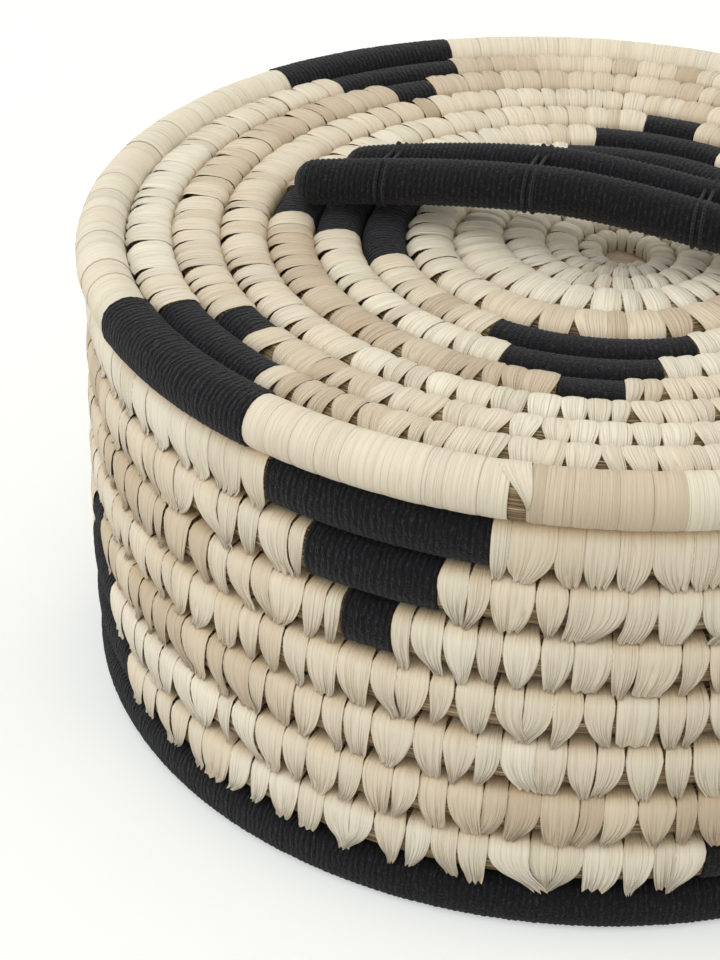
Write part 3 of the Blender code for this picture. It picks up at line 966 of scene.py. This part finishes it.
def wind_foot():
    mesh = new_sheets()
    lay_winding(mesh, wall, wall.first, 1.0, faces_out, foot_tip_share)
    keep_above(mesh, 0.0)
    add_piece("foot_yarn", mesh, black_yarn, "box", ("box_foot_coil",))


def wind_motifs(label, all_spans, coil, section, body, nodes):
    """Yarn over the rows of each motif of a ring of motifs."""
    for number, spans in enumerate(all_spans, 1):
        mesh = new_sheets()
        for start, end in spans:
            lay_winding(mesh, coil, start, end, section, motif_tip_share, motif_lean)
        add_piece(f"{label}_motif_{number}", mesh, black_yarn, body,
                  [f"{label}_motif_{number}_{name}" for name in nodes])


def sew_flat(name, coil, stretches, spacing, spread, rows, body, seed, replaced=()):
    """Strips over stretches of a flat coil, each with its own look."""
    chance = random.Random(seed)
    mesh = new_strips()
    for start, end, look in stretches:
        edges = spaced_edges(coil, start, end, spacing, spread, chance)
        lay_strips(mesh, coil, edges, rows, faces_up, look, chance)
    return add_piece(name, mesh, leaf, body, replaced)


def bare_stretches(first, last, spans, look):
    """Stretches of a flat coil between its windings, sewn with one look."""
    return [(start, end, look) for start, end in free_stretches(first, last, spans)]


def fill_flat(name, coil, first, spans, body):
    """Grass inside a flat coil."""
    core = new_sheets()
    for start, end in free_stretches(first, coil.last, spans):
        lay_core(core, coil, start, end, faces_up, *flat_grass)
    return add_piece(name, core, grass, body)


def lay_eye():
    """Knot of leaf that closes the small hole in the middle of the lid."""
    mesh = new_strips()
    inner_end = lid.place(lid.last).translation
    opposite = lid.place(lid.last - 0.5).translation
    middle = (inner_end + opposite) / 2
    low = opposite.z - knot_depth

    def shape(u, v):
        spread = knot_spread * math.sin(math.pi * v)
        ripple = knot_ripple * math.sin(3 * math.tau * u) * math.sin(math.pi * v) ** 2
        return Vector((middle.x + spread * math.cos(math.tau * u),
                       middle.y - spread * math.sin(math.tau * u),
                       low + (knot_height * math.cos(math.pi * v) + ripple)))

    marks = {"tone": 0.99, "seed": random.Random(5).random(), "gather": 0.0}
    close_seams(mesh, lay_sheet(mesh, 24, 10, shape, marks=marks))
    bmesh.ops.recalc_face_normals(mesh, faces=mesh.faces[:])
    add_piece("lid_eye", mesh, leaf, "lid")


def fold_strip():
    """The strip that folds over at the gap in the rim."""
    mesh = new_strips()
    place = rim_gap[0] + fold_shift / (math.tau * rim_radius)
    look = dict(rim_look, lean=fold_lean)
    lay_strip(mesh, lid, place, fold_width, fold_rows, faces_up, look, random.Random(3))
    add_piece("rim_fold", mesh, leaf, "lid")


def sew_lid():
    """Rim, inner turns and middle of the lid with the grass inside them, and the ring under the lid."""
    rim = (bare_stretches(lid.first, rim_gap[0], lid_spans, rim_look)
           + bare_stretches(rim_gap[1], beige_end, lid_spans, beige_rim_look)
           + bare_stretches(beige_end, 1.0, lid_spans, rim_look))
    sew_flat("rim_strips", lid, rim, rim_strip_spacing, 0.45, rim_strip_rows, "lid", 23)
    fold_strip()
    inside = bare_stretches(1.0, centre_start, lid_spans, lid_look)
    sew_flat("lid_strips", lid, inside, lid_strip_spacing, 0.40, lid_strip_rows, "lid", 29, ("lid_coil",))
    centre = [(centre_start, lid.last, centre_look)]
    sew_flat("lid_centre_strips", lid, centre, lid_strip_spacing, 0.25, lid_strip_rows, "lid", 37)
    lay_eye()
    fill_flat("lid_grass", lid, 1.0, lid_spans, "lid")
    core = new_sheets()
    lay_core(core, lid, rim_gap[0] - rim_grass_reach, rim_gap[1] + rim_grass_reach, faces_up, *rim_grass)
    add_piece("rim_grass", core, grass, "lid")
    whole_ring = [(ring.first, ring.last, rim_look)]
    sew_flat("locating_strips", ring, whole_ring, rim_strip_spacing, 0.3, rim_strip_rows, "lid", 31,
             ("lid_locating_coil",))


def press_flat(piece):
    """Presses the underside of the floor flat where it would pass through the table."""
    for vertex in piece.data.vertices:
        if vertex.co.z < floor_press:
            vertex.co.z = floor_press * math.exp(vertex.co.z / floor_press - 1)


def sew_floor():
    whole_floor = [(floor.first, floor.last, lid_look)]
    strips = sew_flat("floor_strips", floor, whole_floor, floor_strip_spacing, 0.35, lid_strip_rows, "box",
                      41, ("box_floor_coil",))
    press_flat(strips)
    press_flat(fill_flat("floor_grass", floor, 1.0, [], "box"))


# Handle
def lid_top(distance):
    """Height of the lid's top over its seat, at a distance from its middle."""
    sunk = lid_sink * (1 - (distance / rim_radius) ** 2)
    widest = 1 + math.hypot(*lid_eye) / second_turn_radius
    return rim_height - sunk + (lid_pitch * widest - turn_gap) / 2 * hex_flat


def handle_axes():
    """Directions along the handle, across it and up."""
    heading = math.radians(handle_heading)
    along = Vector((math.cos(heading), math.sin(heading), 0))
    return along, Vector((-along.y, along.x, 0)), Vector((0, 0, 1))


def handle_point(share, side):
    """Middle of a handle cord on its low arch. The rear cord starts further in and comes down there."""
    along, across, up = handle_axes()
    set_in = 2 * rear_cord_set_in / handle_length if side > 0 else 0
    own_share = share / (1 - set_in) if share < 0 else share
    arch_share = min(abs(own_share) / (1 - 2 * handle_level_end / handle_length), 1)
    reach = math.hypot(*handle_middle) + handle_length / 2
    foot = lid_seat + lid_top(reach) + seat_gap + handle_cord
    height = foot + handle_rise * (1 - arch_share ** handle_arch_power)
    middle = Vector((*handle_middle, 0))
    return middle + along * (share * handle_length / 2) + across * side + up * height


def end_size(from_end):
    """Rounding of a handle cord's end."""
    reach = handle_cord * handle_end_reach
    if from_end >= reach:
        return 1.0
    return math.sqrt(max(1 - (1 - from_end / reach) ** 2, 0.0))


def wind_handle():
    """The two yarn-wound handle cords, side by side."""
    side = handle_cord + seat_gap / 2
    _, across, up = handle_axes()
    ribs = round(handle_length / yarn_pitch)
    rings = ribs * len(handle_rib_profile)
    start_shares = {"front": 1.0, "rear": 1 - 2 * rear_cord_set_in / handle_length}
    for name, sign in (("front", -1), ("rear", 1)):
        mesh = new_sheets()

        def shape(u, v):
            profile = handle_rib_profile[round(u * rings) % len(handle_rib_profile)]
            angle = math.tau * v - math.pi / 2
            share = 2 * u - 1
            if share < 0:
                share *= start_shares[name]
            from_end = (1 - share if share > 0 else start_shares[name] + share) * handle_length / 2
            size = handle_cord * profile * end_size(from_end)
            place = handle_point(share, sign * side)
            return place + across * (math.cos(angle) * size) + up * (math.sin(angle) * size)

        close_seams(mesh, lay_sheet(mesh, rings, cord_sides, shape, uv_size=(ribs, 1)))
        add_piece(f"handle_{name}_yarn", mesh, black_yarn, "lid", (f"handle_{name}_cord",))


def tie_point(share, along_cord, turn, size):
    """Point on a thread that passes once round both cords, a turn being the whole way round."""
    front = handle_point(share, -handle_cord - seat_gap / 2)
    rear = handle_point(share, handle_cord + seat_gap / 2)
    along, _, _ = handle_axes()
    across = (rear - front).normalized()
    up = along.cross(across).normalized()
    angle = math.tau * turn
    reach = handle_cord * size
    centre = rear if math.cos(angle) > 0 else front
    height = math.sin(angle)
    point = centre + across * (math.cos(angle) * reach) + up * (height * reach)
    dip = max(1 - abs(math.cos(angle)) * 4, 0) * tie_dip
    return point + along * along_cord + up * (dip * (-1 if height > 0 else 1))


def tie_handle():
    """Four doubled threads that bind the two handle cords."""
    along, _, _ = handle_axes()
    for number, share in enumerate(tie_places, 1):
        mesh = new_sheets()
        for strand in (-1, 1):
            place = strand * thread_spacing / 2

            def shape(u, v):
                angle = math.tau * v
                middle = tie_point(share, place, u, 0.96)
                outward = (tie_point(share, place, u, 1.06) - middle).normalized()
                return (middle + outward * (thread_radius * (0.5 + math.cos(angle)))
                        + along * (thread_radius * math.sin(angle)))

            close_seams(mesh, lay_sheet(mesh, thread_steps, thread_sides, shape, uv_size=(40, 1)))
        add_piece(f"handle_threads_{number}", mesh, painted_highlight_thread, "lid",
                  (f"handle_tie_{number}",))


def place_camera():
    """Camera as in the photograph."""
    pitch = math.radians(camera_pitch)
    heading = math.radians(camera_heading)
    forward = Vector((math.sin(heading) * math.cos(pitch), math.cos(heading) * math.cos(pitch),
                      -math.sin(pitch)))
    right = Vector((math.cos(heading), -math.sin(heading), 0))
    up = right.cross(forward)
    level = Matrix([[right[i], up[i], -forward[i]] for i in range(3)])
    turned = level @ Matrix.Rotation(math.radians(camera_roll), 3, "Z")
    camera = bpy.data.objects.new("camera", bpy.data.cameras.new("camera"))
    camera.data.sensor_fit = "AUTO"
    camera.data.sensor_width = camera_sensor
    camera.data.lens = camera_lens
    camera.data.clip_start = 0.01
    camera.matrix_world = Matrix.Translation(camera_place) @ turned.to_4x4()
    bpy.context.collection.objects.link(camera)
    bpy.context.scene.camera = camera
    bpy.context.scene.view_settings.view_transform = "Standard"


def light_studio():
    """Pale surroundings, brighter where they are seen than where they light the box, and two soft lamps."""
    world = bpy.data.worlds.new("studio")
    world.use_nodes = True
    tree = world.node_tree
    background = tree.nodes["Background"]
    path = tree.nodes.new("ShaderNodeLightPath")
    seen = math_node(tree, "MAXIMUM", path.outputs["Is Camera Ray"], path.outputs["Is Glossy Ray"])
    tree.links.new(blend(tree, seen, sky_on_box, sky_seen), background.inputs["Color"])
    bpy.context.scene.world = world

    for name, place, energy, colour in lamps:
        lamp = bpy.data.objects.new(name, bpy.data.lights.new(name, "AREA"))
        lamp.data.shape = "SQUARE"
        lamp.data.size = lamp_size
        lamp.data.energy = energy
        lamp.data.color = colour
        place = Vector(place)
        aim = (-place).to_track_quat("-Z", "Y").to_matrix().to_4x4()
        lamp.matrix_world = Matrix.Translation(place) @ aim
        bpy.context.collection.objects.link(lamp)


def lay_table():
    """Pale floor that stays as light as its surroundings to the camera."""
    ground = bmesh.new()
    bmesh.ops.create_grid(ground, x_segments=1, y_segments=1, size=table_size)
    bmesh.ops.translate(ground, verts=ground.verts[:], vec=(0, 0, -table_drop))
    data = bpy.data.meshes.new("table")
    ground.to_mesh(data)
    ground.free()
    table = bpy.data.objects.new("table", data)
    bpy.context.collection.objects.link(table)
    material, tree, shader = new_material("pale table")
    shader.inputs["Base Color"].default_value = table_grey
    shader.inputs["Roughness"].default_value = 0.9
    path = tree.nodes.new("ShaderNodeLightPath")
    shader.inputs["Emission Color"].default_value = table_glow_colour
    glow = math_node(tree, "MULTIPLY", path.outputs["Is Camera Ray"], table_glow)
    tree.links.new(glow, shader.inputs["Emission Strength"])
    data.materials.append(material)


sew_wall()
wind_foot()
wind_motifs("upper", upper_spans, wall, faces_out, "box", ("row_1", "row_2", "row_3"))
wind_motifs("lower", lower_spans, wall, faces_out, "box", ("row_7", "row_6", "row_5"))
wind_motifs("rim", rim_spans, lid, faces_up, "lid", ("turn_1", "turn_2", "turn_3"))
wind_motifs("inner", inner_spans, lid, faces_up, "lid", ("turn_7", "turn_6", "turn_5"))
sew_lid()
sew_floor()
wind_handle()
tie_handle()
place_camera()
light_studio()
lay_table()
